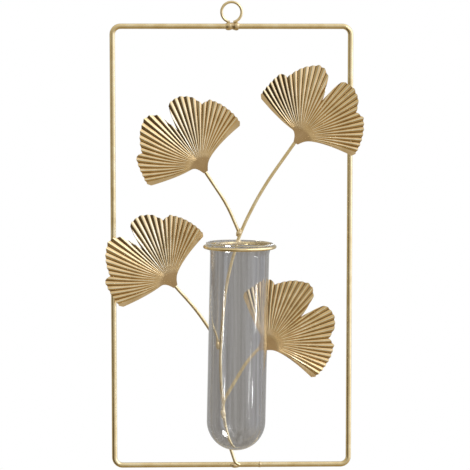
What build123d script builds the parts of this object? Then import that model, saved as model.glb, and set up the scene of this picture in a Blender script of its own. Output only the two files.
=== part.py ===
from build123d import *
import os
from math import acos, cos, pi, radians, sin, sqrt, tan

# A flat wire frame for a wall, with four pressed ginkgo leaves on wire stems and a glass tube in a wire ring.
# Millimetres. X points right, Y to the wall and Z up. The origin is the centre of the hanging ring.

# Frame: one wire bent into a rectangle, its ends butted on the bottom bar.
frame_width = 162.5
frame_height = 300.0
frame_wire = 3.6
frame_bend_radius = 5.5
frame_butt_across_share = 0.118
frame_butt_gap = 0.4
butt_weld_length = 3.2
butt_weld_rise = 0.25

# Hanging ring: a loop of thin wire whose ends meet on the top bar.
hanging_ring_outer = 15.2
hanging_ring_wire = 1.8
hanging_ring_opening = 20.0
hanging_weld_length = 6.4
hanging_weld_width = 6.0
hanging_weld_across_shares = (-0.0105, 0.017)

# Stems: thin wire. A route point is a share of the frame's width across, a number of stem wires forward
# of the frame's middle plane, and a share of the frame's height down from the top bar.
stem_wire = 2.2
weld_gap = 0.1
bend_share = 0.45
frame_bends = 4
main_stem_shares = (
    (-0.0260, 0.30, 0.9150),
    (-0.0600, 0.0, 0.7560),
    (-0.0290, 0.0, 0.5790),
    (0.0308, 0.0, 0.4633),
    (0.1260, -0.12, 0.3620),
)
main_stem_foot_shares = ((0.034, 0.05), (0.0150, 0.50))
upper_left_stem_shares = (
    (0.0310, 0.0, 0.4600),
    (-0.0185, 0.0, 0.3970),
)
lower_left_stem_shares = (
    (-0.0650, 0.0, 0.7220),
    (-0.0700, 0.0, 0.6960),
    (-0.1450, -0.12, 0.6350),
)
lower_right_stem_shares = (
    (-0.0380, 1.05, 0.8780),
    (-0.0430, 1.07, 0.8450),
    (0.0700, 0.05, 0.7470),
)
stub_end_share = 1.25
stub_end_length = 2.4

# Leaf: a thin blade pressed into pleats that start at the throat and fan out to a notched rim.
# A place on the blade is a reach from its foot and an angle from its middle line, positive to the right.
leaf_sheet = 0.6
leaf_reach = 54.2
leaf_pleats = 32
pleat_height = 1.1
throat_pleat_share = 0.75
late_pleat_share = 0.25
leaf_foot_left = 1.4
leaf_foot_right = 2.0
neck_curve_reach = 3.5
throat_reach = 9.5
throat_angle = 48.5
throat_skew = 2.5
throat_spread_share = 0.5
vein_reach = 19.5
vein_angle = 62.0
vein_skew = -6.0
rim_angle = 70.2
rim_scallop = 0.35
leaf_lap = 7.0

# Rim of the blade: a share of the half fan, minus to the left, and the rim's reach as a share of leaf_reach.
rim_shares = (
    (-1.0, 0.695),
    (-0.96, 0.735),
    (-0.83, 0.78),
    (-0.625, 0.875),
    (-0.5625, 0.816),
    (-0.46, 0.882),
    (-0.365, 0.939),
    (-0.22, 1.0),
    (-0.16, 0.985),
    (-0.09, 0.915),
    (0.0, 0.61),
    (0.0625, 0.935),
    (0.11, 0.972),
    (0.205, 0.987),
    (0.325, 0.945),
    (0.4375, 0.842),
    (0.525, 0.895),
    (0.665, 0.858),
    (0.85, 0.795),
    (0.96, 0.755),
    (1.0, 0.72),
)

# Each leaf's foot across and down, its turn from upright, how far its tip leans forward, and its swing
# about the upright, positive where the left side comes forward, in degrees.
leaf_places = {
    "upper_left": (-0.108, 0.324, -33.5, 0.0, 1.5),
    "upper_right": (0.262, 0.259, 32.5, 0.0, -2.4),
    "lower_left": (-0.234, 0.581, -40.8, 0.0, 2.4),
    "lower_right": (0.127, 0.7215, 50.6, 0.0, -1.0),
}

# Tube ring: the wire ring that carries the tube by its lip, open at the back where its ends meet the stem.
tube_ring_outer = 48.5
tube_ring_wire = 2.2
tube_ring_opening = 5.0
tube_ring_across_share = 0.0298
tube_ring_down_share = 0.4835

# Glass tube: a round-bottomed tube with a flared lip, wider than the ring's opening, hanging a little askew.
tube_outer = 39.0
tube_wall = 1.3
tube_length = 138.5
lip_flare_radius = 11.0
lip_overhang = 0.2
seat_gap = 0.3
tube_lean = 1.2

# Weld beads, each as its length along the wire and its width across, with rounded ends.
bead_round_share = 0.7
stem_weld_length = 6.0
stem_weld_width = 3.4
branch_weld_length = 3.6
branch_weld_width = 4.0
branch_weld_share = 0.7
foot_weld_length = 7.0
foot_weld_width = 4.0
tack_weld_length = 5.0
tack_weld_width = 3.2
left_tack_down_share = 0.560
right_tack_down_share = 0.252

quarter_turn = 90.0
full_turn = 360.0

frame_half_width = frame_width / 2 - frame_wire / 2
top_bar_z = -(hanging_ring_outer / 2 + frame_wire / 2)
bottom_bar_z = top_bar_z - frame_height + frame_wire
stem_forward_on_bar = frame_wire / 2 + weld_gap / 2 + stem_wire / 2
leaf_back = stem_wire / 2 + weld_gap + leaf_sheet / 2
tube_ring_radius = tube_ring_outer / 2 - tube_ring_wire / 2
tube_ring_x = tube_ring_across_share * frame_width
tube_ring_y = -(stem_wire / 2 + weld_gap + tube_ring_wire / 2) - tube_ring_radius
tube_ring_z = top_bar_z - tube_ring_down_share * frame_height


def place(across_share, forward, down_share):
    return Vector(across_share * frame_width, -forward, top_bar_z - down_share * frame_height)


def bend_radii(points):
    # The largest bend at each inner point that its two neighbouring runs have room for.
    radii = []
    for before, corner, after in zip(points, points[1:], points[2:]):
        run_in = corner - before
        run_out = after - corner
        turn = run_in.get_angle(run_out)
        shorter = min(run_in.length, run_out.length)
        radii.append(bend_share * shorter / tan(radians(turn) / 2))
    return radii


def bent_wire(points, wire, radii=None):
    path = FilletPolyline(*points, radius=radii or bend_radii(points))
    start = Plane(origin=path @ 0, z_dir=path % 0)
    return sweep(start * Circle(wire / 2), path=path)


def wire_loop(outer, wire, opening, towards):
    # A round loop in the XY plane, open by some degrees about one direction.
    arc = CenterArc((0, 0), outer / 2 - wire / 2, towards + opening / 2, full_turn - opening)
    start = Plane(origin=arc @ 0, z_dir=arc % 0)
    return sweep(start * Circle(wire / 2), path=arc)


def bead(centre, along, length, width, wire):
    # A round lump of weld with its long axis along a wire, its ends rounded down towards the wire.
    lump = Cylinder(width / 2, length)
    ends = lump.edges().filter_by(GeomType.CIRCLE)
    rounded = fillet(ends, bead_round_share * (width - wire) / 2)
    return Plane(origin=centre, z_dir=along) * rounded


def cut_bead(lump, *pieces):
    # What is left of a bead round the pieces that it joins, as one solid.
    for piece in pieces:
        lump = lump - piece
    return max(lump.solids(), key=lambda solid: solid.volume)


def wire_frame():
    across = frame_half_width
    butt = frame_butt_across_share * frame_width
    corners = [
        Vector(butt + frame_butt_gap / 2, 0, bottom_bar_z),
        Vector(across, 0, bottom_bar_z),
        Vector(across, 0, top_bar_z),
        Vector(-across, 0, top_bar_z),
        Vector(-across, 0, bottom_bar_z),
        Vector(butt - frame_butt_gap / 2, 0, bottom_bar_z),
    ]
    return bent_wire(corners, frame_wire, [frame_bend_radius] * frame_bends)


def frame_butt_weld(frame):
    centre = Vector(frame_butt_across_share * frame_width, 0, bottom_bar_z)
    lump = bead(centre, (1, 0, 0), butt_weld_length, frame_wire + 2 * butt_weld_rise, frame_wire)
    return cut_bead(lump, frame)


def hanging_ring():
    loop = wire_loop(hanging_ring_outer, hanging_ring_wire, hanging_ring_opening, -quarter_turn)
    return Rot(quarter_turn, 0, 0) * loop


def hanging_ring_weld(frame, ring):
    # Two lumps side by side, one over each end of the loop.
    left_share, right_share = hanging_weld_across_shares
    left = bead(place(left_share, 0, 0), (1, 0, 0), hanging_weld_length, hanging_weld_width, frame_wire)
    right = bead(place(right_share, 0, 0), (1, 0, 0), hanging_weld_length, hanging_weld_width, frame_wire)
    return cut_bead(cut_bead(left, frame) + cut_bead(right, frame), ring)


def leaf_location(name):
    across, down, turn, tip_forward, swing = leaf_places[name]
    foot = place(across, leaf_back, down)
    return Location(foot) * Rot(0, 0, swing) * Rot(tip_forward, 0, 0) * Rot(0, turn, 0)


def stem_end(name):
    # The stem runs on behind the blade, from its foot, in line with the blade.
    foot = leaf_location(name) * Location((0, leaf_back, 0))
    lapped = leaf_location(name) * Location((0, leaf_back, leaf_lap))
    return [foot.position, lapped.position]


def stem_points(shares):
    return [place(across, forward * stem_wire, down) for across, forward, down in shares]


def main_stem():
    # The foot lies across the front of the bottom bar, with its toe turned to the right.
    foot = []
    for across, rise in main_stem_foot_shares:
        foot.append(Vector(across * frame_width, -stem_forward_on_bar, bottom_bar_z + rise * frame_wire))
    return bent_wire(foot + stem_points(main_stem_shares) + stem_end("upper_right")[1:], stem_wire)


def branch_stem(shares, leaf_name, parent):
    return bent_wire(stem_points(shares) + stem_end(leaf_name)[1:], stem_wire) - parent


def lower_right_stem(parent):
    # Crosses in front of the main stem and ends beside it in a small melted lump.
    stem = branch_stem(lower_right_stem_shares, "lower_right", parent)
    tip, next_point = stem_points(lower_right_stem_shares)[:2]
    melted_end = bead(tip, next_point - tip, stub_end_length, stub_end_share * stem_wire, stem_wire)
    return (stem + melted_end) - parent


def rim_reach(fan_share):
    for (left, left_reach), (right, right_reach) in zip(rim_shares, rim_shares[1:]):
        if fan_share <= right:
            slide = (fan_share - left) / (right - left)
            return leaf_reach * (left_reach + slide * (right_reach - left_reach))
    return leaf_reach * rim_shares[-1][1]


def on_blade(reach, angle, height):
    return Vector(reach * sin(radians(angle)), -height, reach * cos(radians(angle)))


def on_throat(fan_share, height):
    # The lines crowd together in the middle of the throat.
    gathered = throat_spread_share * fan_share + (1 - throat_spread_share) * fan_share**3
    return on_blade(throat_reach, throat_angle * gathered + throat_skew * fan_share**2, height)


def on_vein(fan_share, height):
    return on_blade(vein_reach, vein_angle * fan_share + vein_skew * fan_share**2, height)


def pleat_line(line, side):
    # One fold of the blade, as a curve from the throat to the rim. Odd lines are ridges, even ones valleys,
    # and every second ridge rises later than the one beside it.
    share = line / leaf_pleats
    crest = 1 if line % 2 else -1
    skin = side * leaf_sheet / 2
    fold = crest * pleat_height / 2
    early_share = late_pleat_share if line % 4 == 3 else throat_pleat_share
    start = on_throat(share, skin)
    middle = on_vein(share, skin + early_share * fold)
    end = on_blade(rim_reach(share) + crest * rim_scallop, rim_angle * share, skin + fold)
    return Edge.make_bezier(start, middle, end)


def pleat_lines():
    # The last pleat at each edge is a plain band, so its ridge is left out.
    lines = range(-leaf_pleats, leaf_pleats + 1)
    return [line for line in lines if abs(line) != leaf_pleats - 1]


def leaf_blade():
    # Each pleat face is ruled between a ridge curve and a valley curve, in front and behind.
    front = [pleat_line(line, 1) for line in pleat_lines()]
    back = [pleat_line(line, -1) for line in pleat_lines()]
    faces = []
    for skin in (front, back):
        for one, other in zip(skin, skin[1:]):
            faces.append(Face.make_surface_from_curves(one, other))
    for index in range(len(front) - 1):
        rim_front = Edge.make_line(front[index] @ 1, front[index + 1] @ 1)
        rim_back = Edge.make_line(back[index] @ 1, back[index + 1] @ 1)
        faces.append(Face.make_surface_from_curves(rim_front, rim_back))
    faces.append(Face.make_surface_from_curves(front[0], back[0]))
    faces.append(Face.make_surface_from_curves(front[-1], back[-1]))
    return faces + neck_faces(front, back)


def neck_side(foot, edge, side):
    # One side of the neck, curved so that it runs on smoothly into the blade's edge.
    skin = side * leaf_sheet / 2
    throat = on_throat(edge, skin)
    run_in = (on_vein(edge, skin) - throat).normalized() * neck_curve_reach
    return Edge.make_bezier(foot, throat - run_in, throat)


def neck_faces(front, back):
    # The flat neck between the blade's foot and its throat.
    faces = []
    edges = {}
    for side, skin in ((1, front), (-1, back)):
        left = Vector(-leaf_foot_left, -side * leaf_sheet / 2, 0)
        right = Vector(leaf_foot_right, -side * leaf_sheet / 2, 0)
        starts = [curve @ 0 for curve in skin]
        throat = [Edge.make_line(one, other) for one, other in zip(starts, starts[1:])]
        foot = Edge.make_line(right, left)
        left_side = neck_side(left, -1, side)
        right_side = neck_side(right, 1, side)
        faces.append(Face(Wire(throat + [right_side, foot, left_side])))
        edges[side] = (foot, left_side, right_side)
    for one, other in zip(edges[1], edges[-1]):
        faces.append(Face.make_surface_from_curves(one, other))
    return faces


def leaf_solid():
    shell = Shell(leaf_blade())
    return Solid(shell)


def tube_ring():
    loop = wire_loop(tube_ring_outer, tube_ring_wire, tube_ring_opening, quarter_turn)
    return Pos(tube_ring_x, tube_ring_y, tube_ring_z) * loop


def tube_place():
    return Pos(tube_ring_x, tube_ring_y, tube_ring_z) * Rot(0, tube_lean, 0)


def glass_tube():
    # The flare starts where its curve clears the ring's wire by the seat gap, raised for the tube's lean.
    outer = tube_outer / 2
    inner = outer - tube_wall
    lip = tube_ring_radius - tube_ring_wire / 2 + lip_overhang
    flare_centre = outer + lip_flare_radius
    flare_turn = acos(1 - (lip - outer) / lip_flare_radius)
    reach = lip_flare_radius - tube_ring_wire / 2 - seat_gap
    flare_start = -sqrt(reach**2 - (flare_centre - tube_ring_radius) ** 2) + lip * sin(radians(tube_lean))

    def on_flare(radius, turn):
        return Vector(flare_centre - radius * cos(turn), 0, flare_start + radius * sin(turn))

    outer_end = on_flare(lip_flare_radius, flare_turn)
    inner_end = on_flare(lip_flare_radius + tube_wall, flare_turn)
    rim_centre = (outer_end + inner_end) / 2
    rim_tip = rim_centre + Vector(sin(flare_turn), 0, cos(flare_turn)) * (tube_wall / 2)
    lip_top = rim_centre.Z + tube_wall / 2
    bottom = lip_top - tube_length
    round_centre = bottom + outer
    shoulder = cos(pi / 4)
    profile = [
        ThreePointArc(
            (0, 0, bottom),
            (outer * shoulder, 0, round_centre - outer * shoulder),
            (outer, 0, round_centre),
        ),
        Line((outer, 0, round_centre), (outer, 0, flare_start)),
        ThreePointArc((outer, 0, flare_start), on_flare(lip_flare_radius, flare_turn / 2), outer_end),
        ThreePointArc(outer_end, rim_tip, inner_end),
        ThreePointArc(inner_end, on_flare(lip_flare_radius + tube_wall, flare_turn / 2), (inner, 0, flare_start)),
        Line((inner, 0, flare_start), (inner, 0, round_centre)),
        ThreePointArc(
            (inner, 0, round_centre),
            (inner * shoulder, 0, round_centre - inner * shoulder),
            (0, 0, round_centre - inner),
        ),
        Line((0, 0, round_centre - inner), (0, 0, bottom)),
    ]
    return tube_place() * revolve(make_face(profile), axis=Axis.Z)


def leaf_weld(name, stem):
    # Sits behind the flat neck of the blade, round the stem's lapped end.
    foot, lapped = stem_end(name)
    lump = bead((foot + lapped) / 2, lapped - foot, stem_weld_length, stem_weld_width, stem_wire)
    front_of_back_skin = Pos(0, leaf_sheet / 2 - leaf_lap / 2, leaf_lap / 2) * Box(leaf_lap, leaf_lap, 2 * leaf_lap)
    return cut_bead(lump, stem, leaf_location(name) * front_of_back_skin)


def branch_weld(shares, stem, branch):
    # Joins the two wires where the branch's root lies along the main stem.
    root, parting = stem_points(shares)[:2]
    centre = parting + (root - parting) * branch_weld_share
    lump = bead(centre, root - parting, branch_weld_length, branch_weld_width, stem_wire)
    return cut_bead(lump, stem, branch)


def tack_weld(side, down_share, frame, leaf):
    centre = Vector(side * frame_half_width, -frame_wire / 2, top_bar_z - down_share * frame_height)
    lump = bead(centre, (0, 0, 1), tack_weld_length, tack_weld_width, stem_wire)
    return cut_bead(lump, frame, leaf)


def build():
    nodes = {}
    frame = wire_frame()
    ring = hanging_ring()
    nodes["wire_frame"] = frame
    nodes["frame_butt_weld"] = frame_butt_weld(frame)
    nodes["hanging_ring"] = ring
    nodes["hanging_ring_weld"] = hanging_ring_weld(frame, ring)

    stem = main_stem()
    upper_left = branch_stem(upper_left_stem_shares, "upper_left", stem)
    lower_left = branch_stem(lower_left_stem_shares, "lower_left", stem)
    lower_right = lower_right_stem(stem)
    nodes["main_stem"] = stem
    nodes["upper_left_stem"] = upper_left
    nodes["lower_left_stem"] = lower_left
    nodes["lower_right_stem"] = lower_right

    blade = leaf_solid()
    leaf_stems = {
        "upper_left": upper_left,
        "upper_right": stem,
        "lower_left": lower_left,
        "lower_right": lower_right,
    }
    for name, leaf_stem in leaf_stems.items():
        leaf = leaf_location(name) * blade
        nodes[name + "_leaf"] = leaf
        nodes[name + "_leaf_weld"] = leaf_weld(name, leaf_stem)
    nodes["left_bar_tack_weld"] = tack_weld(-1, left_tack_down_share, frame, nodes["lower_left_leaf"])
    nodes["right_bar_tack_weld"] = tack_weld(1, right_tack_down_share, frame, nodes["upper_right_leaf"])

    loop = tube_ring()
    nodes["tube_ring"] = loop
    ring_back = Vector(tube_ring_x, -(stem_wire + weld_gap) / 2, tube_ring_z)
    ring_bead = bead(ring_back, (1, 0, 0), branch_weld_length, stem_weld_width, stem_wire)
    nodes["tube_ring_weld"] = cut_bead(ring_bead, loop, stem)

    fork = stem_points(upper_left_stem_shares)[0]
    above_fork = stem_points(main_stem_shares)[-1]
    fork_bead = bead(fork, above_fork - fork, stem_weld_length, stem_weld_width, stem_wire)
    nodes["upper_fork_weld"] = cut_bead(fork_bead, stem, upper_left)
    nodes["lower_left_branch_weld"] = branch_weld(lower_left_stem_shares, stem, lower_left)
    nodes["lower_right_branch_weld"] = branch_weld(lower_right_stem_shares, stem, lower_right)

    foot_across = main_stem_foot_shares[1][0] * frame_width
    foot_centre = Vector(foot_across, -frame_wire / 2, bottom_bar_z)
    foot_bead = bead(foot_centre, (1, 0, 0), foot_weld_length, foot_weld_width, stem_wire)
    nodes["stem_foot_weld"] = cut_bead(foot_bead, frame, stem)

    nodes["glass_tube"] = glass_tube()
    return nodes


os.makedirs("parts", exist_ok=True)
for node_name, solid in build().items():
    export_step(solid, os.path.join("parts", node_name + ".step"))
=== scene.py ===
from math import asin, cos, pi, radians, sin, tan

import bmesh
import bpy
from mathutils import Matrix, Vector


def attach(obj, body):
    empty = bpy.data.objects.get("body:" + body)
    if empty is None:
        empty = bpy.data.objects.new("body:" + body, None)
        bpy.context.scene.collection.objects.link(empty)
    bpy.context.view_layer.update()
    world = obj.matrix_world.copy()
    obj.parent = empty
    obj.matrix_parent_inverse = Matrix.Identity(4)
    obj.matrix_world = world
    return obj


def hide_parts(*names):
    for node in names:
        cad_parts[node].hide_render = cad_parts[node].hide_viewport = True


# The looks of a wall frame of gilt wire with pressed ginkgo leaves and a glass flower tube, built round the
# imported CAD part. Sizes are in metres and angles in degrees. X points right, Y to the wall and Z up, from the
# centre of the hanging ring.

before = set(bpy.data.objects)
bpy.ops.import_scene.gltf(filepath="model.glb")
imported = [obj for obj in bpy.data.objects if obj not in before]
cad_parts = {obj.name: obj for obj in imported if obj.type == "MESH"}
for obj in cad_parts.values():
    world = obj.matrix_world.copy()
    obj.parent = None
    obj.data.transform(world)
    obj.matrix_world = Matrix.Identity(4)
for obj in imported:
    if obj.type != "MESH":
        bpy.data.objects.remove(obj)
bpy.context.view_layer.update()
MM = 0.001

# Wire frame and its butt weld.
frame_width = 162.5 * MM
frame_height = 300.0 * MM
frame_wire = 3.6 * MM
frame_bend_radius = 5.5 * MM
frame_butt_across_share = 0.118
frame_butt_gap = 0.4 * MM
butt_weld_length = 3.6 * MM
butt_weld_rise = 0.3 * MM

# Hanging ring.
hanging_ring_outer = 15.2 * MM
hanging_ring_wire = 1.8 * MM
hanging_ring_opening = 20.0
hanging_ring_opens_towards = -90.0
hanging_weld_size = (6.2 * MM, 5.4 * MM, 5.6 * MM)
hanging_weld_across_shares = (-0.0105, 0.017)
hanging_seam_size = (4.8 * MM, 4.6 * MM, 4.4 * MM)
hanging_seam_down_share = -0.001

# Stems: each route point is a share of the frame's width across, a number of stem wires forward, and a share of
# the frame's height down.
stem_wire = 2.2 * MM
weld_gap = 0.1 * MM
bend_share = 0.45
main_stem_shares = (
    (-0.0260, 0.30, 0.9150),
    (-0.0600, 0.0, 0.7560),
    (-0.0290, 0.0, 0.5790),
    (0.0308, 0.0, 0.4633),
    (0.1260, -0.12, 0.3620),
)
main_stem_foot_shares = ((0.034, 0.05), (0.0150, 0.50))
upper_left_stem_shares = (
    (0.0310, 0.0, 0.4600),
    (-0.0185, 0.0, 0.3970),
)
lower_left_stem_shares = (
    (-0.0650, 0.0, 0.7220),
    (-0.0700, 0.0, 0.6960),
    (-0.1450, -0.12, 0.6350),
)
lower_right_stem_shares = (
    (-0.0380, 1.05, 0.8780),
    (-0.0430, 1.07, 0.8450),
    (0.0700, 0.05, 0.7470),
)
stub_end_size = (2.9 * MM, 2.9 * MM, 3.2 * MM)

# Leaf blade: its reaches are measured from its foot and its angles from its middle line.
leaf_sheet = 0.6 * MM
leaf_reach = 54.2 * MM
leaf_pleats = 32
pleat_height = 1.1 * MM
crest_rounding = 0.22
flat_edge_folds = 2.0
plain_band_folds = 2.75
plain_band_blend = 0.5
neck_blend_rows = 3
# How soon the painted shade and painted highlight on the folds reach full strength from the throat.
fold_painted_light_gain = 3.0
throat_pleat_share = 0.75
late_pleat_share = 0.25
leaf_foot_left = 1.4 * MM
leaf_foot_right = 2.0 * MM
neck_curve_reach = 3.5 * MM
throat_reach = 9.5 * MM
throat_angle = 48.5
throat_skew = 2.5
throat_spread_share = 0.5
vein_reach = 19.5 * MM
vein_angle = 62.0
vein_skew = -6.0
rim_angle = 70.2
rim_scallop = 0.35 * MM
leaf_lap = 7.0 * MM
columns_per_fold = 6
neck_rows = 10
blade_rows = 30
# The rim: places across the blade from -1 to 1, each with its reach as a share of the longest.
rim_shares = (
    (-1.0, 0.695),
    (-0.96, 0.735),
    (-0.83, 0.78),
    (-0.625, 0.875),
    (-0.5625, 0.816),
    (-0.46, 0.882),
    (-0.365, 0.939),
    (-0.22, 1.0),
    (-0.16, 0.985),
    (-0.09, 0.915),
    (0.0, 0.61),
    (0.0625, 0.935),
    (0.11, 0.972),
    (0.205, 0.987),
    (0.325, 0.945),
    (0.4375, 0.842),
    (0.525, 0.895),
    (0.665, 0.858),
    (0.85, 0.795),
    (0.96, 0.755),
    (1.0, 0.72),
)
# Each leaf's foot, as shares across and down, then its turn in the frame's plane and its swing out of it.
leaf_places = {
    "upper_left": (-0.108, 0.324, -33.5, 1.5),
    "upper_right": (0.262, 0.259, 32.5, -2.4),
    "lower_left": (-0.234, 0.581, -40.8, 2.4),
    "lower_right": (0.127, 0.7215, 50.6, -1.0),
}

# Tube ring and glass tube.
tube_ring_outer = 48.5 * MM
tube_ring_wire = 2.2 * MM
tube_ring_opening = 5.0
tube_ring_opens_towards = 90.0
tube_ring_across_share = 0.0298
tube_ring_down_share = 0.4835
tube_outer = 39.0 * MM
tube_wall = 1.3 * MM
tube_length = 138.5 * MM
lip_flare_radius = 11.0 * MM
lip_overhang = 0.2 * MM
seat_gap = 0.3 * MM
tube_lean = 1.2
tube_sides = 160
arc_steps = 14
round_bottom_steps = 24

# Weld lumps, each as its length along the wire, its depth and its width.
leaf_weld_size = (6.4 * MM, 3.2 * MM, 3.4 * MM)
branch_weld_size = (6.0 * MM, 3.6 * MM, 4.0 * MM)
ring_weld_size = (4.4 * MM, 3.2 * MM, 3.4 * MM)
foot_weld_size = (7.0 * MM, 4.0 * MM, 4.0 * MM)
tack_weld_size = (5.0 * MM, 3.0 * MM, 3.2 * MM)
branch_weld_share = 0.7
left_tack_down_share = 0.560
right_tack_down_share = 0.252
lump_height = 0.9 * MM
lumps_per_metre = 420.0
lump_level = 0.6
lump_subdivisions = 4

# How finely the wires and the cut edges are made.
wire_bend_steps = 8
wire_sides = 24
stem_bend_steps = 10
frame_bend_steps = 12
frame_sides = 40
loop_steps = 96
crease_angle = 50.0

frame_half_width = frame_width / 2 - frame_wire / 2
top_bar_z = -(hanging_ring_outer / 2 + frame_wire / 2)
bottom_bar_z = top_bar_z - frame_height + frame_wire
stem_forward_on_bar = frame_wire / 2 + weld_gap / 2 + stem_wire / 2
leaf_back = stem_wire / 2 + weld_gap + leaf_sheet / 2
tube_ring_radius = tube_ring_outer / 2 - tube_ring_wire / 2
tube_ring_x = tube_ring_across_share * frame_width
tube_ring_y = -(stem_wire / 2 + weld_gap + tube_ring_wire / 2) - tube_ring_radius
tube_ring_z = top_bar_z - tube_ring_down_share * frame_height


def place(across_share, forward, down_share):
    # A point in front of the frame's middle plane, from shares of its width and height.
    return Vector((across_share * frame_width, -forward, top_bar_z - down_share * frame_height))


def into_scene(name, data):
    thing = bpy.data.objects.new(name, data)
    bpy.context.scene.collection.objects.link(thing)
    return thing


def clamped(value, low=0.0, high=1.0):
    return min(max(value, low), high)


# Geometry Nodes helpers.


def new_tree(name, sizes):
    # A tree with a geometry in and out, a material, and one named input for each size.
    tree = bpy.data.node_groups.new(name, "GeometryNodeTree")
    tree.interface.new_socket("Geometry", in_out="INPUT", socket_type="NodeSocketGeometry")
    for size_name, kind in sizes.items():
        tree.interface.new_socket(size_name, in_out="INPUT", socket_type=kind)
    tree.interface.new_socket("Finish", in_out="INPUT", socket_type="NodeSocketMaterial")
    tree.interface.new_socket("Geometry", in_out="OUTPUT", socket_type="NodeSocketGeometry")
    return tree, tree.nodes.new("NodeGroupInput"), tree.nodes.new("NodeGroupOutput")


def maths(tree, operation, one, other=None):
    # A Math node on numbers or on other nodes' values.
    node = tree.nodes.new("ShaderNodeMath")
    node.operation = operation
    for socket, value in zip(node.inputs, (one, other)):
        if isinstance(value, (int, float)):
            socket.default_value = value
        elif value is not None:
            tree.links.new(value, socket)
    return node.outputs[0]


def point_value(tree, name):
    # A value that the mesh's points keep, as a Geometry Nodes tree reads it.
    value = tree.nodes.new("GeometryNodeInputNamedAttribute")
    value.data_type = "FLOAT"
    value.inputs["Name"].default_value = name
    return value.outputs["Attribute"]


def end_tree(tree, entry, exit_node, geometry):
    # Every tree ends in real, smooth, finished geometry.
    link = tree.links.new
    smooth = tree.nodes.new("GeometryNodeSetShadeSmooth")
    real = tree.nodes.new("GeometryNodeRealizeInstances")
    finish = tree.nodes.new("GeometryNodeSetMaterial")
    link(geometry, smooth.inputs["Geometry"])
    link(smooth.outputs["Geometry"], real.inputs["Geometry"])
    link(real.outputs["Geometry"], finish.inputs["Geometry"])
    link(entry.outputs["Finish"], finish.inputs["Material"])
    link(finish.outputs["Geometry"], exit_node.inputs["Geometry"])


def run_tree(piece, tree, settings):
    # Runs the tree on the piece, which keeps the result.
    modifier = piece.modifiers.new(tree.name, "NODES")
    modifier.node_group = tree
    sockets = {item.name: item.identifier for item in tree.interface.items_tree if item.in_out == "INPUT"}
    for name, value in settings.items():
        modifier[sockets[name]] = value
    keep_result(piece)


def keep_result(piece):
    # Puts what the piece's modifiers make in its place as a plain mesh.
    bpy.context.view_layer.update()
    made = bpy.data.meshes.new_from_object(piece.evaluated_get(bpy.context.evaluated_depsgraph_get()))
    piece.modifiers.clear()
    piece.data = made


def new_piece(name, points, edges=(), faces=()):
    mesh = bpy.data.meshes.new(name)
    mesh.from_pydata([tuple(point) for point in points], list(edges), list(faces))
    mesh.update()
    return into_scene(name, mesh)


def set_up(piece, body, slot, *nodes):
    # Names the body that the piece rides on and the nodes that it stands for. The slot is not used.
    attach(piece, body)
    if nodes:
        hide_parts(*nodes)


# Finishes.

BLACK = (0.0, 0.0, 0.0)
WHITE = (1.0, 1.0, 1.0)

# Gilt: the colours of its dull, plain and bright patches, how much of it shines as metal, and its least and
# most roughness.
CLOUD_STOPS = (0.30, 0.52, 0.75)
LEAF_GILT = ((0.61, 0.435, 0.22), (0.69, 0.50, 0.26), (0.76, 0.57, 0.33))
WIRE_GILT = ((0.66, 0.505, 0.26), (0.74, 0.59, 0.335), (0.80, 0.68, 0.445))
WELD_GILT = ((0.42, 0.30, 0.15), (0.66, 0.51, 0.29), (0.84, 0.70, 0.48))
leaf_polish = 0.92
wire_polish = 0.95
leaf_roughness = (0.13, 0.21)
wire_roughness = (0.14, 0.20)
weld_roughness = (0.24, 0.46)
weld_grain_depth = 0.06 * MM
grain_strength = 0.5

# Each noise: its scale per metre and its detail.
CLOUDS = (140.0, 4.0)
SPECKS = (900.0, 3.0)
GRAIN = (700.0, 2.0)
STREAKS = (420.0, 3.0)
streak_stretch = (1.0, 1.0, 0.02)

# What multiplies the leaves' colour: from valley to ridge, painted shade in the valleys up to a painted highlight
# on the ridges; at the plain neck; and on steep folds, from painted shade on those that face away from the bright
# side to a painted highlight on those that face it.
FOLD_PAINTED_SHADE_AND_HIGHLIGHT = (
    (0.0, (0.10, 0.08, 0.06)),
    (0.09, (0.20, 0.17, 0.13)),
    (0.24, (0.95, 0.93, 0.90)),
    (0.90, WHITE),
    (0.99, (1.35, 1.75, 2.50)),
)
NECK_SHADE = (0.72, 0.66, 0.60)
# Painted shade on steep folds that face away from the bright side and a painted highlight on those that face it.
STEEP_PAINTED_SHADE_AND_HIGHLIGHT = ((0.18, (0.16, 0.15, 0.13)), (0.23, WHITE), (0.77, WHITE), (0.82, (1.28, 1.62, 2.40)))
# The direction that this painted light comes from.
STEEP_LIT_FROM = (0.87, 0.0, 0.50)

# Glass.
glass_ior = 1.47
STREAK_SHADES = ((0.35, (0.77, 0.76, 0.74)), (0.57, WHITE))
streak_roughness = 0.05
ripple_depth = 0.05 * MM
ripple_strength = 0.25
PASSED_BY = (0.96, 0.96, 0.96)
# Bounce counts are whole numbers, so they are compared with the half between two of them.
ONE_BOUNCE = 0.5
LAST_BOUNCE = 5.5


def new_finish(name):
    finish = bpy.data.materials.new(name)
    finish.use_nodes = True
    return finish, finish.node_tree, finish.node_tree.nodes["Principled BSDF"]


def noise_of(tree, coordinates, kind, stretch=None):
    noise = tree.nodes.new("ShaderNodeTexNoise")
    noise.inputs["Scale"].default_value, noise.inputs["Detail"].default_value = kind
    if stretch:
        mapping = tree.nodes.new("ShaderNodeMapping")
        mapping.inputs["Scale"].default_value = stretch
        tree.links.new(coordinates, mapping.inputs["Vector"])
        coordinates = mapping.outputs["Vector"]
    tree.links.new(coordinates, noise.inputs["Vector"])
    return noise.outputs["Fac"]


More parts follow.
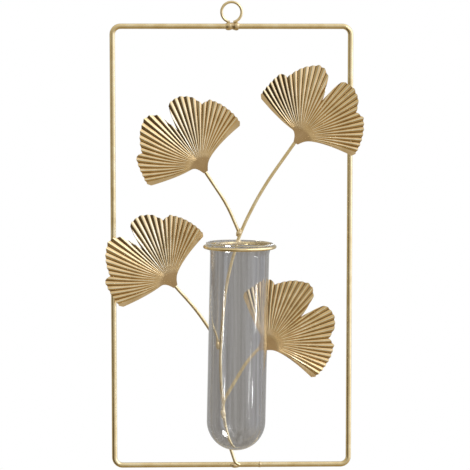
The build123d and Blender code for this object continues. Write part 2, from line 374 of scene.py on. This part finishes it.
def ramp_of(tree, factor, stops):
    ramp = tree.nodes.new("ShaderNodeValToRGB")
    while len(ramp.color_ramp.elements) < len(stops):
        ramp.color_ramp.elements.new(1.0)
    for element, (position, colour) in zip(ramp.color_ramp.elements, stops):
        element.position = position
        element.color = (*colour, 1.0)
    tree.links.new(factor, ramp.inputs["Fac"])
    return ramp.outputs["Color"]


def step_of(tree, factor, low, high):
    # 0 below the low value and 1 above the high one.
    step = tree.nodes.new("ShaderNodeMapRange")
    step.inputs["From Min"].default_value = low
    step.inputs["From Max"].default_value = high
    tree.links.new(factor, step.inputs["Value"])
    return step.outputs["Result"]


def span_of(tree, factor, low, high):
    # The low value where the factor is 0 and the high one where it is 1.
    span = tree.nodes.new("ShaderNodeMapRange")
    span.inputs["To Min"].default_value = low
    span.inputs["To Max"].default_value = high
    tree.links.new(factor, span.inputs["Value"])
    return span.outputs["Result"]


def share_towards(tree, direction, target):
    # 0 where a direction points away from the target, 1 where it points at it.
    toward = tree.nodes.new("ShaderNodeVectorMath")
    toward.operation = "DOT_PRODUCT"
    toward.inputs[1].default_value = target
    tree.links.new(direction, toward.inputs[0])
    return maths(tree, "ADD", maths(tree, "MULTIPLY", toward.outputs["Value"], 0.5), 0.5)


def bump_of(tree, height, depth, strength):
    bump = tree.nodes.new("ShaderNodeBump")
    bump.inputs["Distance"].default_value = depth
    bump.inputs["Strength"].default_value = strength
    tree.links.new(height, bump.inputs["Height"])
    return bump.outputs["Normal"]


def gilt(name, patches, polish, roughness, grain_depth=0.0):
    # Antique gold plating: cloudy colour, darker in patches, over a grain where the metal was melted.
    finish, tree, shader = new_finish(name)
    link = tree.links.new
    coordinates = tree.nodes.new("ShaderNodeTexCoord").outputs["Object"]
    clouds = noise_of(tree, coordinates, CLOUDS)
    link(ramp_of(tree, clouds, tuple(zip(CLOUD_STOPS, patches))), shader.inputs["Base Color"])
    specks = noise_of(tree, coordinates, SPECKS)
    link(span_of(tree, specks, *roughness), shader.inputs["Roughness"])
    if grain_depth:
        grain = noise_of(tree, coordinates, GRAIN)
        link(bump_of(tree, grain, grain_depth, grain_strength), shader.inputs["Normal"])
    shader.inputs["Metallic"].default_value = polish
    return finish, tree, shader


def leaf_gilt(name):
    # The ridges get a painted highlight and the valleys painted shade, from the fold height that the pleat press
    # keeps.
    finish, tree, shader = gilt(name, LEAF_GILT, leaf_polish, leaf_roughness)
    colour = shader.inputs["Base Color"].links[0].from_socket
    shade = ramp_of(tree, kept_value(tree, "fold"), FOLD_PAINTED_SHADE_AND_HIGHLIGHT)
    colour = blend_colour(tree, "MULTIPLY", 1.0, colour, shade)
    # The steep inner folds that run up to the left get a painted highlight on the side that faces the bright side
    # and painted shade on the other.
    facing = tree.nodes.new("ShaderNodeNewGeometry").outputs["Normal"]
    steep = ramp_of(tree, share_towards(tree, facing, STEEP_LIT_FROM), STEEP_PAINTED_SHADE_AND_HIGHLIGHT)
    colour = blend_colour(tree, "MULTIPLY", 1.0, colour, steep)
    colour = blend_colour(tree, "MULTIPLY", kept_value(tree, "neck"), colour, NECK_SHADE)
    tree.links.new(colour, shader.inputs["Base Color"])
    return finish


def kept_value(tree, name):
    # A value that the mesh's points keep, as a finish reads it.
    kept = tree.nodes.new("ShaderNodeAttribute")
    kept.attribute_name = name
    return kept.outputs["Fac"]


def blend_colour(tree, how, factor, first, second):
    blend = tree.nodes.new("ShaderNodeMix")
    blend.data_type = "RGBA"
    blend.blend_type = how
    # A Mix node has inputs for every kind of value, and those for colours are 6 and 7.
    for socket, value in zip((blend.inputs[0], blend.inputs[6], blend.inputs[7]), (factor, first, second)):
        if isinstance(value, float):
            socket.default_value = value
        elif isinstance(value, tuple):
            socket.default_value = (*value, 1.0)
        else:
            tree.links.new(value, socket)
    return blend.outputs[2]


def clear_glass(name):
    # Blown glass with faint grey streaks. It casts next to no shadow, so the lamps reach the stems behind it.
    finish, tree, shader = new_finish(name)
    link = tree.links.new
    shader.inputs["Transmission Weight"].default_value = 1.0
    shader.inputs["IOR"].default_value = glass_ior
    coordinates = tree.nodes.new("ShaderNodeTexCoord").outputs["Object"]
    streaks = noise_of(tree, coordinates, STREAKS, streak_stretch)
    link(ramp_of(tree, streaks, STREAK_SHADES), shader.inputs["Base Color"])
    link(span_of(tree, streaks, 0.0, streak_roughness), shader.inputs["Roughness"])
    link(bump_of(tree, streaks, ripple_depth, ripple_strength), shader.inputs["Normal"])
    rays = tree.nodes.new("ShaderNodeLightPath")
    through = tree.nodes.new("ShaderNodeBsdfTransparent")
    through.inputs["Color"].default_value = (*PASSED_BY, 1.0)
    # Metal outside the glass doesn't mirror it, so its reflections don't sparkle on the leaves.
    mirrored = maths(tree, "GREATER_THAN", rays.outputs["Glossy Depth"], ONE_BOUNCE)
    outside = maths(tree, "LESS_THAN", rays.outputs["Transmission Depth"], ONE_BOUNCE)
    sparkle = maths(tree, "MULTIPLY", mirrored, outside)
    unseen = maths(tree, "MAXIMUM", rays.outputs["Is Shadow Ray"], sparkle)
    # Light that runs round in the wall is let out, or the lip has a black edge.
    trapped = maths(tree, "GREATER_THAN", rays.outputs["Ray Depth"], LAST_BOUNCE)
    unseen = maths(tree, "MAXIMUM", unseen, trapped)
    pass_by = tree.nodes.new("ShaderNodeMixShader")
    link(unseen, pass_by.inputs["Fac"])
    link(shader.outputs["BSDF"], pass_by.inputs[1])
    link(through.outputs["BSDF"], pass_by.inputs[2])
    link(pass_by.outputs["Shader"], tree.nodes["Material Output"].inputs["Surface"])
    return finish


wire_finish = gilt("gilt_wire", WIRE_GILT, wire_polish, wire_roughness)[0]
weld_finish = gilt("gilt_weld", WELD_GILT, wire_polish, weld_roughness, weld_grain_depth)[0]
leaf_finish = leaf_gilt("gilt_leaf")
glass_finish = clear_glass("clear_glass")


# Wires.


def wire_tree():
    # Bends a run of straight edges at its corners, each by its own radius, and gives it a round section.
    sizes = {"Wire Radius": "NodeSocketFloat", "Bend Steps": "NodeSocketInt", "Sides": "NodeSocketInt"}
    tree, entry, exit_node = new_tree("round_wire", sizes)
    link = tree.links.new
    route = tree.nodes.new("GeometryNodeMeshToCurve")
    bend = tree.nodes.new("GeometryNodeFilletCurve")
    bend.mode = "POLY"
    section = tree.nodes.new("GeometryNodeCurvePrimitiveCircle")
    tube = tree.nodes.new("GeometryNodeCurveToMesh")
    tube.inputs["Fill Caps"].default_value = True
    link(entry.outputs["Geometry"], route.inputs["Mesh"])
    link(route.outputs["Curve"], bend.inputs["Curve"])
    link(point_value(tree, "bend_radius"), bend.inputs["Radius"])
    link(entry.outputs["Bend Steps"], bend.inputs["Count"])
    link(entry.outputs["Sides"], section.inputs["Resolution"])
    link(entry.outputs["Wire Radius"], section.inputs["Radius"])
    link(bend.outputs["Curve"], tube.inputs["Curve"])
    link(section.outputs["Curve"], tube.inputs["Profile Curve"])
    end_tree(tree, entry, exit_node, tube.outputs["Mesh"])
    return tree


def bend_radii(points):
    # The largest bend that each inner corner has room for.
    radii = [0.0]
    for before, corner, after in zip(points, points[1:], points[2:]):
        turn = (corner - before).angle(after - corner)
        shorter = min((corner - before).length, (after - corner).length)
        radii.append(bend_share * shorter / tan(turn / 2))
    return radii + [0.0]


def bent_wire(name, points, wire, radii, bend_steps=wire_bend_steps, sides=wire_sides):
    edges = [(index, index + 1) for index in range(len(points) - 1)]
    piece = new_piece(name, points, edges)
    corner = piece.data.attributes.new("bend_radius", "FLOAT", "POINT")
    corner.data.foreach_set("value", radii)
    settings = {"Wire Radius": wire / 2, "Bend Steps": bend_steps, "Sides": sides, "Finish": wire_finish}
    run_tree(piece, round_wire, settings)
    return piece


def loop_points(centre, radius, opening, flat_axis):
    # A loop about a centre, in the plane across the flat axis. Its opening is a width and a direction.
    width, towards = opening
    start = radians(towards + width / 2)
    sweep = radians(360.0 - width)
    points = []
    for step in range(loop_steps + 1):
        turn = start + sweep * step / loop_steps
        if flat_axis == "Z":
            points.append(centre + Vector((radius * cos(turn), radius * sin(turn), 0.0)))
        else:
            points.append(centre + Vector((radius * cos(turn), 0.0, radius * sin(turn))))
    return points


def wire_loop(name, centre, outer, wire, opening, flat_axis):
    points = loop_points(centre, outer / 2 - wire / 2, opening, flat_axis)
    return bent_wire(name, points, wire, [0.0] * len(points))


round_wire = wire_tree()

butt = frame_butt_across_share * frame_width
frame_corners = [
    Vector((butt + frame_butt_gap / 2, 0.0, bottom_bar_z)),
    Vector((frame_half_width, 0.0, bottom_bar_z)),
    Vector((frame_half_width, 0.0, top_bar_z)),
    Vector((-frame_half_width, 0.0, top_bar_z)),
    Vector((-frame_half_width, 0.0, bottom_bar_z)),
    Vector((butt - frame_butt_gap / 2, 0.0, bottom_bar_z)),
]
frame_radii = [0.0, *[frame_bend_radius] * 4, 0.0]
bars = bent_wire("frame_wire", frame_corners, frame_wire, frame_radii, frame_bend_steps, frame_sides)
set_up(bars, "frame_body", "frame_wire", "wire_frame")

origin = Vector((0.0, 0.0, 0.0))
hanging_opening = (hanging_ring_opening, hanging_ring_opens_towards)
hanger = wire_loop("hanging_loop", origin, hanging_ring_outer, hanging_ring_wire, hanging_opening, "Y")
set_up(hanger, "frame_body", "stem_wire", "hanging_ring")

ring_centre = Vector((tube_ring_x, tube_ring_y, tube_ring_z))
carrier_opening = (tube_ring_opening, tube_ring_opens_towards)
carrier = wire_loop("tube_loop", ring_centre, tube_ring_outer, tube_ring_wire, carrier_opening, "Z")
set_up(carrier, "frame_body", "stem_wire", "tube_ring")


def leaf_matrix(name):
    across, down, turn, swing = leaf_places[name]
    move = Matrix.Translation(place(across, leaf_back, down))
    return move @ Matrix.Rotation(radians(swing), 4, "Z") @ Matrix.Rotation(radians(turn), 4, "Y")


def stem_end(name):
    return leaf_matrix(name) @ Vector((0.0, leaf_back, leaf_lap))


def stem_points(shares):
    return [place(across, forward * stem_wire, down) for across, forward, down in shares]


def stem(name, points, node):
    wire = bent_wire(name, points, stem_wire, bend_radii(points), stem_bend_steps)
    set_up(wire, "frame_body", "stem_wire", node)


foot_points = []
for across_share, rise_share in main_stem_foot_shares:
    rise = bottom_bar_z + rise_share * frame_wire
    foot_points.append(Vector((across_share * frame_width, -stem_forward_on_bar, rise)))
stem("long_stem", foot_points + stem_points(main_stem_shares) + [stem_end("upper_right")], "main_stem")
stem("upper_left_twig", stem_points(upper_left_stem_shares) + [stem_end("upper_left")], "upper_left_stem")
stem("lower_left_twig", stem_points(lower_left_stem_shares) + [stem_end("lower_left")], "lower_left_stem")
stem("lower_right_twig", stem_points(lower_right_stem_shares) + [stem_end("lower_right")], "lower_right_stem")


# Leaves.


def pleat_tree():
    # Presses pleats into a flat fan. The fold position counts folds across and the depth grows from the throat.
    # Where the blade is plain, the height kept for the finish is half way, so there it gets next to no painted
    # shade or highlight.
    tree, entry, exit_node = new_tree("pleat_press", {"Pleat Height": "NodeSocketFloat"})
    link = tree.links.new
    fold_depth = point_value(tree, "fold_depth")
    # A zigzag from -1 to 1 whose crests are a little rounded.
    zigzag = maths(tree, "PINGPONG", point_value(tree, "fold_position"), 1.0)
    zigzag = maths(tree, "SUBTRACT", maths(tree, "MULTIPLY", zigzag, 2.0), 1.0)
    cube = maths(tree, "POWER", maths(tree, "ABSOLUTE", zigzag), 3.0)
    cube = maths(tree, "MULTIPLY", cube, maths(tree, "SIGN", zigzag))
    steeper = maths(tree, "MULTIPLY", zigzag, 1.0 + crest_rounding)
    wave = maths(tree, "SUBTRACT", steeper, maths(tree, "MULTIPLY", cube, crest_rounding))
    half_height = maths(tree, "MULTIPLY", entry.outputs["Pleat Height"], 0.5)
    rise = maths(tree, "MULTIPLY", maths(tree, "MULTIPLY", wave, half_height), fold_depth)
    offset = tree.nodes.new("ShaderNodeCombineXYZ")
    link(maths(tree, "MULTIPLY", rise, -1.0), offset.inputs["Y"])
    press = tree.nodes.new("GeometryNodeSetPosition")
    link(entry.outputs["Geometry"], press.inputs["Geometry"])
    link(offset.outputs["Vector"], press.inputs["Offset"])
    # Keeps the height on the fold for the finish, from valley 0 to ridge 1, which the finish paints as shade in
    # the valleys and a highlight on the ridges.
    # Near the throat, where the pleats are still shallow, the painted shade and highlight grow to full strength
    # sooner.
    soon = maths(tree, "MINIMUM", maths(tree, "MULTIPLY", fold_depth, fold_painted_light_gain), 1.0)
    height = maths(tree, "MULTIPLY", wave, soon)
    keep = tree.nodes.new("GeometryNodeStoreNamedAttribute")
    keep.data_type = "FLOAT"
    keep.domain = "POINT"
    keep.inputs["Name"].default_value = "fold"
    link(press.outputs["Geometry"], keep.inputs["Geometry"])
    pleated = maths(tree, "SUBTRACT", 0.5, maths(tree, "MULTIPLY", point_value(tree, "fold_plain"), 0.5))
    link(maths(tree, "ADD", maths(tree, "MULTIPLY", height, pleated), 0.5), keep.inputs["Value"])
    end_tree(tree, entry, exit_node, keep.outputs["Geometry"])
    return tree


def rim_reach(share):
    for (left, left_reach), (right, right_reach) in zip(rim_shares, rim_shares[1:]):
        if share <= right:
            slide = (share - left) / (right - left)
            return leaf_reach * (left_reach + slide * (right_reach - left_reach))
    return leaf_reach * rim_shares[-1][1]


def on_blade(reach, angle):
    return Vector((reach * sin(radians(angle)), 0.0, reach * cos(radians(angle))))


def leaf_column(position):
    # The blade's points at one place across, from its foot to its rim, each with the depth of its pleat.
    share = position / leaf_pleats
    # The folds come in fours: an early ridge, a valley, a late ridge and a valley.
    step = (position - 1.0) % 4.0
    to_ridge = abs(1.0 - step % 2.0)
    crest = 2.0 * to_ridge - 1.0
    late = to_ridge * (1.0 < step < 3.0)
    early_share = throat_pleat_share + late * (late_pleat_share - throat_pleat_share)
    gathered = throat_spread_share * share + (1.0 - throat_spread_share) * share**3
    foot = Vector((-leaf_foot_left + (leaf_foot_left + leaf_foot_right) * (share + 1.0) / 2.0, 0.0, 0.0))
    throat = on_blade(throat_reach, throat_angle * gathered + throat_skew * share**2)
    vein = on_blade(vein_reach, vein_angle * share + vein_skew * share**2)
    rim = on_blade(rim_reach(share) + crest * rim_scallop, rim_angle * share)
    neck_bend = throat - (vein - throat).normalized() * neck_curve_reach
    points = []
    for row in range(neck_rows):
        along = row / neck_rows
        points.append((foot.lerp(neck_bend, along).lerp(neck_bend.lerp(throat, along), along), 0.0))
    for row in range(blade_rows + 1):
        along = row / blade_rows
        bend = throat.lerp(vein, along).lerp(vein.lerp(rim, along), along)
        points.append((bend, 2.0 * along * (1.0 - along) * early_share + along**2))
    return points


def leaf(name):
    columns = 2 * leaf_pleats * columns_per_fold + 1
    last_fold = 2.0 * leaf_pleats - flat_edge_folds
    points, fold_positions, fold_depths, fold_plains, necks = [], [], [], [], []
    for column in range(columns):
        position = column / columns_per_fold - leaf_pleats
        for row, (point, depth) in enumerate(leaf_column(position)):
            points.append(point)
            necks.append(clamped((neck_rows + neck_blend_rows - row) / neck_blend_rows))
            fold_positions.append(clamped(position + leaf_pleats, flat_edge_folds, last_fold))
            fold_depths.append(depth)
            fold_plains.append(clamped((abs(position) - leaf_pleats + plain_band_folds) / plain_band_blend))
    rows = neck_rows + blade_rows + 1
    faces = []
    for column in range(columns - 1):
        for row in range(rows - 1):
            low = column * rows + row
            faces.append((low, low + rows, low + rows + 1, low + 1))
    piece = new_piece(name + "_blade", points, faces=faces)
    pressing = {
        "fold_position": fold_positions,
        "fold_depth": fold_depths,
        "fold_plain": fold_plains,
        "neck": necks,
    }
    for attribute, values in pressing.items():
        piece.data.attributes.new(attribute, "FLOAT", "POINT").data.foreach_set("value", values)
    run_tree(piece, pleat_press, {"Pleat Height": pleat_height, "Finish": leaf_finish})
    sheet = piece.modifiers.new("sheet", "SOLIDIFY")
    sheet.thickness = leaf_sheet
    sheet.offset = 0.0
    keep_result(piece)
    piece.data.transform(leaf_matrix(name))
    sharpen(piece)
    set_up(piece, "frame_body", "leaf_sheet", name + "_leaf")


def sharpen(piece):
    # Keeps cut edges crisp where two faces meet at more than the crease angle.
    shape = bmesh.new()
    shape.from_mesh(piece.data)
    bmesh.ops.recalc_face_normals(shape, faces=shape.faces)
    for edge in shape.edges:
        edge.smooth = len(edge.link_faces) == 2 and edge.calc_face_angle(0.0) < radians(crease_angle)
    shape.to_mesh(piece.data)
    shape.free()


pleat_press = pleat_tree()
for leaf_name in leaf_places:
    leaf(leaf_name)


# Welds.


def weld_tree():
    # Roughens a smooth lump, as a melted spot weld is.
    sizes = {"Lump Height": "NodeSocketFloat", "Lumps Per Metre": "NodeSocketFloat", "Seed": "NodeSocketFloat"}
    tree, entry, exit_node = new_tree("weld_lump", sizes)
    link = tree.links.new
    position = tree.nodes.new("GeometryNodeInputPosition")
    normal = tree.nodes.new("GeometryNodeInputNormal")
    lumps = tree.nodes.new("ShaderNodeTexNoise")
    lumps.noise_dimensions = "4D"
    lumps.inputs["Detail"].default_value = 1.0
    link(position.outputs["Position"], lumps.inputs["Vector"])
    link(entry.outputs["Seed"], lumps.inputs["W"])
    link(entry.outputs["Lumps Per Metre"], lumps.inputs["Scale"])
    above_level = maths(tree, "SUBTRACT", lumps.outputs["Fac"], lump_level)
    swell = maths(tree, "MULTIPLY", above_level, entry.outputs["Lump Height"])
    move = tree.nodes.new("ShaderNodeVectorMath")
    move.operation = "SCALE"
    link(normal.outputs["Normal"], move.inputs[0])
    link(swell, move.inputs["Scale"])
    shape = tree.nodes.new("GeometryNodeSetPosition")
    link(entry.outputs["Geometry"], shape.inputs["Geometry"])
    link(move.outputs["Vector"], shape.inputs["Offset"])
    end_tree(tree, entry, exit_node, shape.outputs["Geometry"])
    return tree


def weld(name, lumps, seed, *nodes, finish=None):
    # A weld made of one or more round lumps, each a centre, a direction along the wire and a size.
    shape = bmesh.new()
    for centre, along, size in lumps:
        turn = along.to_track_quat("X", "Z").to_matrix().to_4x4()
        stretch = Matrix.Diagonal((size[0] / 2, size[1] / 2, size[2] / 2, 1.0))
        in_place = Matrix.Translation(centre) @ turn @ stretch
        bmesh.ops.create_icosphere(shape, subdivisions=lump_subdivisions, radius=1.0, matrix=in_place)
    mesh = bpy.data.meshes.new(name)
    shape.to_mesh(mesh)
    shape.free()
    piece = into_scene(name, mesh)
    settings = {
        "Lump Height": lump_height,
        "Lumps Per Metre": lumps_per_metre,
        "Seed": seed,
        "Finish": finish or weld_finish,
    }
    run_tree(piece, weld_lump, settings)
    set_up(piece, "frame_body", "weld", *nodes)


weld_lump = weld_tree()
ALONG_X = Vector((1.0, 0.0, 0.0))
ALONG_Z = Vector((0.0, 0.0, 1.0))

butt_size = (butt_weld_length, frame_wire + 2 * butt_weld_rise, frame_wire + 2 * butt_weld_rise)
weld("butt_lump", [(Vector((butt, 0.0, bottom_bar_z)), ALONG_X, butt_size)], 1.0, "frame_butt_weld")
hanging_lumps = [(place(share, 0.0, 0.0), ALONG_X, hanging_weld_size) for share in hanging_weld_across_shares]
seam_centre = place(sum(hanging_weld_across_shares) / 2, 0.0, hanging_seam_down_share)
hanging_lumps.append((seam_centre, ALONG_Z, hanging_seam_size))
weld("hanging_lump", hanging_lumps, 2.0, "hanging_ring_weld")
ring_back = Vector((tube_ring_x, -(stem_wire + weld_gap) / 2, tube_ring_z))
weld("ring_lump", [(ring_back, ALONG_X, ring_weld_size)], 3.0, "tube_ring_weld")
fork = stem_points(upper_left_stem_shares)[0]
above_fork = stem_points(main_stem_shares)[-1]
weld("fork_lump", [(fork, above_fork - fork, branch_weld_size)], 4.0, "upper_fork_weld")


def branch_lump(name, shares, seed, node):
    root, parting = stem_points(shares)[:2]
    centre = parting + (root - parting) * branch_weld_share
    weld(name, [(centre, root - parting, branch_weld_size)], seed, node)


branch_lump("lower_left_lump", lower_left_stem_shares, 5.0, "lower_left_branch_weld")
branch_lump("lower_right_lump", lower_right_stem_shares, 6.0, "lower_right_branch_weld")
foot_centre = Vector((main_stem_foot_shares[1][0] * frame_width, -frame_wire / 2, bottom_bar_z))
weld("foot_lump", [(foot_centre, ALONG_X, foot_weld_size)], 7.0, "stem_foot_weld")
stub_tip = stem_points(lower_right_stem_shares)[0]
weld("stub_end", [(stub_tip, ALONG_Z, stub_end_size)], 8.0, finish=wire_finish)

for seed, leaf_name in enumerate(leaf_places, 9):
    lap_start = leaf_matrix(leaf_name) @ Vector((0.0, leaf_back, 0.0))
    lap_end = stem_end(leaf_name)
    lump = ((lap_start + lap_end) / 2, lap_end - lap_start, leaf_weld_size)
    weld(leaf_name + "_spot", [lump], float(seed), leaf_name + "_leaf_weld")


def tack(name, side, down_share, seed, node):
    centre = Vector((side * frame_half_width, -frame_wire / 2, top_bar_z - down_share * frame_height))
    weld(name, [(centre, ALONG_Z, tack_weld_size)], seed, node)


tack("left_tack", -1.0, left_tack_down_share, 13.0, "left_bar_tack_weld")
tack("right_tack", 1.0, right_tack_down_share, 14.0, "right_bar_tack_weld")


# Glass tube.


def arc(centre, radius, start, end, steps=arc_steps):
    # Points of radius and height on an arc.
    points = []
    for step in range(steps + 1):
        turn = start + (end - start) * step / steps
        points.append((centre[0] + radius * cos(turn), centre[1] + radius * sin(turn)))
    return points


def tube_profile():
    # The wall's section from the outside of the bottom, over the lip, to the inside of the bottom.
    outer = tube_outer / 2
    inner = outer - tube_wall
    lip = tube_ring_radius - tube_ring_wire / 2 + lip_overhang
    flare_centre = outer + lip_flare_radius
    flare_turn = pi / 2 - asin(1 - (lip - outer) / lip_flare_radius)
    reach = lip_flare_radius - tube_ring_wire / 2 - seat_gap
    drop = (reach**2 - (flare_centre - tube_ring_radius) ** 2) ** 0.5
    flare_start = lip * sin(radians(tube_lean)) - drop
    middle = lip_flare_radius + tube_wall / 2
    tip = (flare_centre - middle * cos(flare_turn), flare_start + middle * sin(flare_turn))
    round_centre = tip[1] + tube_wall / 2 - tube_length + outer
    points = arc((0.0, round_centre), outer, -pi / 2, 0.0, round_bottom_steps)
    points += arc((flare_centre, flare_start), lip_flare_radius, pi, pi - flare_turn)
    points += arc(tip, tube_wall / 2, -flare_turn, pi - flare_turn)[1:-1]
    points += arc((flare_centre, flare_start), lip_flare_radius + tube_wall, pi - flare_turn, pi)
    points += arc((0.0, round_centre), inner, 0.0, -pi / 2, round_bottom_steps)
    return points


def turned(name, profile, sides):
    # A profile of radius and height, spun about Z. Its two end points lie on the axis, and come first in the mesh.
    points = [Vector((0.0, 0.0, profile[0][1])), Vector((0.0, 0.0, profile[-1][1]))]
    inner_profile = profile[1:-1]
    for radius, height in inner_profile:
        for side in range(sides):
            turn = 2 * pi * side / sides
            points.append(Vector((radius * cos(turn), radius * sin(turn), height)))
    faces = []
    last = 2 + (len(inner_profile) - 1) * sides
    for side in range(sides):
        other = (side + 1) % sides
        faces.append((0, 2 + other, 2 + side))
        faces.append((1, last + side, last + other))
        for ring in range(len(inner_profile) - 1):
            low = 2 + ring * sides
            faces.append((low + side, low + other, low + sides + other, low + sides + side))
    return new_piece(name, points, faces=faces)


tube = turned("tube_glass", tube_profile(), tube_sides)
tube.data.transform(Matrix.Translation(ring_centre) @ Matrix.Rotation(radians(tube_lean), 4, "Y"))
tube.data.materials.append(glass_finish)
for polygon in tube.data.polygons:
    polygon.use_smooth = True
set_up(tube, "tube", "glass", "glass_tube")


# Studio: white behind, a bright side at the upper right and a dark card at the lower left. The world's strength
# doubles every colour here.

world_strength = 2.0
PAPER = (0.5, 0.5, 0.5)
# The wall, and how far towards it a direction has to point to show it. Elsewhere glass shows nothing darker
# than the least.
TO_WALL = (0.0, 1.0, 0.0)
WALL_IN_METAL = (0.26, 0.26, 0.25)
WALL_EDGE_IN_METAL = (0.72, 0.86)
WALL_IN_GLASS = (0.138, 0.133, 0.129)
WALL_EDGE_IN_GLASS = (0.28, 0.40)
LEAST_IN_GLASS = (0.32, 0.32, 0.30)
# The room, from the side opposite the bright one to the bright one.
BRIGHT_SIDE = (0.95, 0.0, 0.31)
ROOM_SHADES = (
    (0.0, (0.27, 0.255, 0.205)),
    (0.30, (0.29, 0.278, 0.235)),
    (0.52, (0.33, 0.328, 0.32)),
    (0.72, (0.39, 0.395, 0.41)),
    (0.86, (0.54, 0.56, 0.62)),
    (0.94, (0.84, 0.91, 1.07)),
    (1.0, (1.0, 1.10, 1.34)),
)
# What multiplies the room, from the ceiling to the floor.
DOWN = (0.0, 0.0, -1.0)
HEIGHT_SHADES = ((0.12, (1.4, 1.4, 1.35)), (0.38, WHITE), (0.56, WHITE), (0.88, (0.72, 0.60, 0.37)))
# The dark card: what multiplies the room there, the direction across it, the side that it is on, and where its
# long edges and its ends lie.
CARD_SHADE = (0.17, 0.15, 0.12)
CARD_ACROSS = (0.56, 0.0, -0.83)
CARD_SIDE = (-0.83, 0.0, -0.56)
CARD_SIDE_EDGE = (0.55, 0.65)
CARD_EDGES = ((0.27, BLACK), (0.33, WHITE), (0.67, WHITE), (0.73, BLACK))
CARD_ENDS = ((0.03, BLACK), (0.07, WHITE), (0.36, WHITE), (0.42, BLACK))


def studio():
    world = bpy.data.worlds.new("studio")
    bpy.context.scene.world = world
    world.use_nodes = True
    tree = world.node_tree
    link = tree.links.new
    shade = tree.nodes["Background"]
    direction = tree.nodes.new("ShaderNodeTexCoord").outputs["Generated"]
    room = ramp_of(tree, share_towards(tree, direction, BRIGHT_SIDE), ROOM_SHADES)
    # A long dark card at the lower left, which the stems and facets that slant to the upper left show.
    to_wall = share_towards(tree, direction, TO_WALL)
    card_edges = ramp_of(tree, share_towards(tree, direction, CARD_ACROSS), CARD_EDGES)
    card_ends = ramp_of(tree, to_wall, CARD_ENDS)
    at_left = step_of(tree, share_towards(tree, direction, CARD_SIDE), *CARD_SIDE_EDGE)
    on_card = maths(tree, "MULTIPLY", maths(tree, "MULTIPLY", card_edges, card_ends), at_left)
    room = blend_colour(tree, "MULTIPLY", on_card, room, CARD_SHADE)
    # A pale ceiling and a warm floor, both a long way off.
    height = ramp_of(tree, share_towards(tree, direction, DOWN), HEIGHT_SHADES)
    room = blend_colour(tree, "MULTIPLY", 1.0, room, height)
    # Behind the object is the pale wall. Metal shows it at its edges, and the glass shows it as grey, as in the
    # photograph, where the paper white round the object was put in later.
    at_wall = step_of(tree, to_wall, *WALL_EDGE_IN_METAL)
    metal_sees = blend_colour(tree, "MIX", at_wall, room, WALL_IN_METAL)
    round_lip = blend_colour(tree, "LIGHTEN", 1.0, room, LEAST_IN_GLASS)
    at_wall = step_of(tree, to_wall, *WALL_EDGE_IN_GLASS)
    glass_sees = blend_colour(tree, "MIX", at_wall, round_lip, WALL_IN_GLASS)
    rays = tree.nodes.new("ShaderNodeLightPath")
    seen = blend_colour(tree, "MIX", rays.outputs["Is Transmission Ray"], metal_sees, glass_sees)
    link(blend_colour(tree, "MIX", rays.outputs["Is Camera Ray"], seen, PAPER), shade.inputs["Color"])
    shade.inputs["Strength"].default_value = world_strength


# Lamps and camera.

camera_target = Vector((2.3 * MM, 0.0, -149.0 * MM))
camera_distance = 1.25
camera_elevation = 5.17
camera_azimuth = -1.40
camera_angle = 14.42
camera_clip = 0.05
object_centre = Vector((0.0, 0.0, (top_bar_z + bottom_bar_z) / 2))
# The key lamp's azimuth, elevation, distance, width, height and power.
key_lamp = (34.0, 30.0, 1.6, 0.50, 0.50, 2.4)
glint_distance = 1.2
# Each glint's azimuth, elevation, width, height and brightness.
glints = {
    "left_upper": (-60.0, -10.0, 0.055, 0.085, 22.0),
    "left_lower": (-50.0, -14.5, 0.05, 0.035, 18.0),
    "right_upper": (70.0, -11.2, 0.075, 0.062, 26.0),
    "right_lower": (62.0, -16.6, 0.065, 0.035, 22.0),
    "round_bottom": (-55.0, -43.5, 0.34, 0.52, 14.0),
}


def towards_viewer(azimuth, elevation):
    # The direction from the object at an azimuth right of the viewer and an elevation above them.
    turn, lift = radians(azimuth), radians(elevation)
    return Vector((sin(turn) * cos(lift), -cos(turn) * cos(lift), sin(lift)))


def softbox(name, azimuth, elevation, distance, width, height, power):
    # A rectangular lamp that faces the object.
    lamp = bpy.data.lights.new(name, "AREA")
    lamp.shape = "RECTANGLE"
    lamp.size = width
    lamp.size_y = height
    lamp.energy = power
    holder = into_scene(name, lamp)
    away = towards_viewer(azimuth, elevation)
    holder.location = object_centre + away * distance
    holder.rotation_mode = "QUATERNION"
    holder.rotation_quaternion = away.to_track_quat("Z", "Y")
    return holder


def glint(name, azimuth, elevation, width, height, brightness):
    # A reflection on the tube, which the metal in the photograph doesn't show.
    power = brightness * pi * width * height
    lamp = softbox(name, azimuth, elevation, glint_distance, width, height, power)
    lamp.data.shape = "ELLIPSE"
    lit = bpy.data.collections.new(name)
    lit.objects.link(tube)
    lamp.light_linking.receiver_collection = lit


def photograph_camera():
    # Stands a little left of the object and looks slightly down at it.
    forward = -towards_viewer(camera_azimuth, camera_elevation)
    lens = bpy.data.cameras.new("photograph")
    lens.angle = radians(camera_angle)
    lens.clip_start = camera_clip
    holder = into_scene("photograph", lens)
    holder.location = camera_target - forward * camera_distance
    holder.rotation_mode = "QUATERNION"
    holder.rotation_quaternion = forward.to_track_quat("-Z", "Y")
    bpy.context.scene.camera = holder


studio()
softbox("key", *key_lamp)
for glint_name, glint_settings in glints.items():
    glint(glint_name, *glint_settings)
photograph_camera()
bpy.context.scene.view_settings.view_transform = "Standard"
